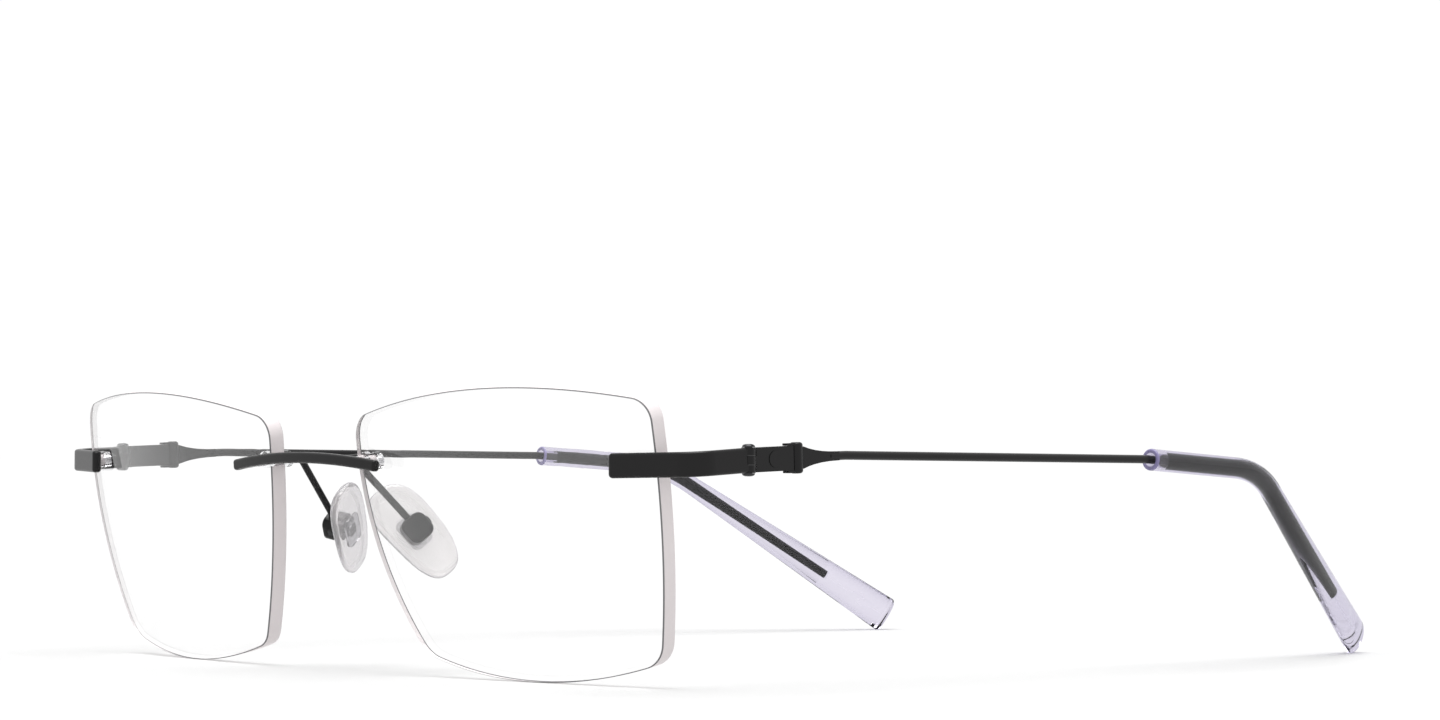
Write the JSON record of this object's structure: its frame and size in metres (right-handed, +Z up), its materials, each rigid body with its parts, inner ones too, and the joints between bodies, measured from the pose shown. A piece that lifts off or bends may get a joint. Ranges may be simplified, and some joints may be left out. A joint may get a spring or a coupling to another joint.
{
  "type": "eyeglasses",
  "caption": "Rimless eyeglasses: drilled lenses on a bridge bar and endpieces, folding wire temples with clear tips, and soft nose pads that rock on arms.",
  "frame": {"origin": "middle of the glasses' bounding box in plan, on the surface that the lower lens edges and the temple tips rest on", "axes": "+X to the wearer's left, +Y back along the temples, +Z up; the lenses face -Y"},
  "size_m": [0.1434, 0.1557, 0.0383],
  "materials": {
    "black_metal": "satin black coating",
    "stud_metal": "plain",
    "screw_steel": "polished",
    "lens_clear": "clear, polished",
    "bushing_clear": "clear, moulded",
    "tip_clear": "clear with a lavender tint",
    "pad_silicone": "clear, soft",
    "core_plastic": "clear grey, moulded",
    "washer_nylon": "plain"
  },
  "bodies": {
    "front": {"bridge_bar": "black_metal", "left_lens": "lens_clear", "left_bridge_studs": "stud_metal", "left_bridge_bushing": "bushing_clear", "left_endpiece": "black_metal", "left_endpiece_studs": "stud_metal", "left_endpiece_bushing": "bushing_clear", "left_pad_arm": "black_metal", "left_pad_box": "black_metal", "left_pad_screw": "screw_steel", "left_hinge_screw": "black_metal", "left_hinge_washers": "washer_nylon", "right_lens": "lens_clear", "right_bridge_studs": "stud_metal", "right_bridge_bushing": "bushing_clear", "right_endpiece": "black_metal", "right_endpiece_studs": "stud_metal", "right_endpiece_bushing": "bushing_clear", "right_pad_arm": "black_metal", "right_pad_box": "black_metal", "right_pad_screw": "screw_steel", "right_hinge_screw": "black_metal", "right_hinge_washers": "washer_nylon"},
    "left_temple": {"left_hinge_leaf": "black_metal", "left_temple_arm": "black_metal", "left_temple_tip": "tip_clear"},
    "left_pad": {"left_pad_core": "core_plastic", "left_nose_pad": "pad_silicone"},
    "right_temple": {"right_hinge_leaf": "black_metal", "right_temple_arm": "black_metal", "right_temple_tip": "tip_clear"},
    "right_pad": {"right_pad_core": "core_plastic", "right_nose_pad": "pad_silicone"}
  },
  "joints": [
    {"name": "left_temple_fold", "type": "hinge", "parent": "front", "child": "left_temple", "pos_m": [0.07075, -0.0589, 0.0287], "axis": [0, 0, 1], "range_deg": [0, 82]},
    {"name": "right_temple_fold", "type": "hinge", "parent": "front", "child": "right_temple", "pos_m": [-0.07075, -0.0589, 0.0287], "axis": [0, 0, -1], "range_deg": [0, 70]},
    {"name": "left_pad_rock", "type": "hinge", "parent": "front", "child": "left_pad", "pos_m": [0.00988, -0.06409, 0.01943], "axis": [0.2163, 0.7534, 0.621], "range_deg": [-8, 8]},
    {"name": "right_pad_rock", "type": "hinge", "parent": "front", "child": "right_pad", "pos_m": [-0.00988, -0.06409, 0.01943], "axis": [0.2163, -0.7534, -0.621], "range_deg": [-8, 8]}
  ]
}
